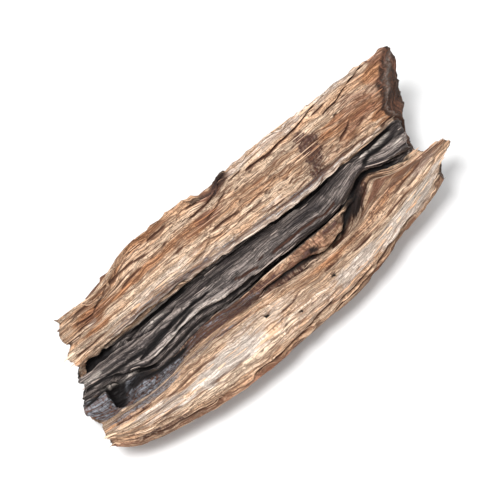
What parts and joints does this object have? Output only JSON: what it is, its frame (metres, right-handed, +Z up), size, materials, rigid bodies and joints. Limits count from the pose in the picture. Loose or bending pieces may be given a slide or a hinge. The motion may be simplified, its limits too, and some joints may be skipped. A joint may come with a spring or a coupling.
{
  "type": "agarwood piece",
  "caption": "Broken split of resinous agarwood: a tall pale wall, a dark resin core with long splits, a low front ridge, torn ends and a rotted hollow.",
  "frame": {"origin": "under the middle of the piece's box, on the surface that it rests on", "axes": "+X along the grain, towards the end where the wall rises to a peak; +Z up; -Y on the side of the low front ridge"},
  "size_m": [0.136, 0.0516, 0.0361],
  "materials": {
    "agarwood": "dry, broken and weathered wood: pale tan with orange-brown streaks, and grey-black with resin in the core and its splits"
  },
  "bodies": {
    "root": {"agarwood_piece": "agarwood"}
  },
  "joints": []
}
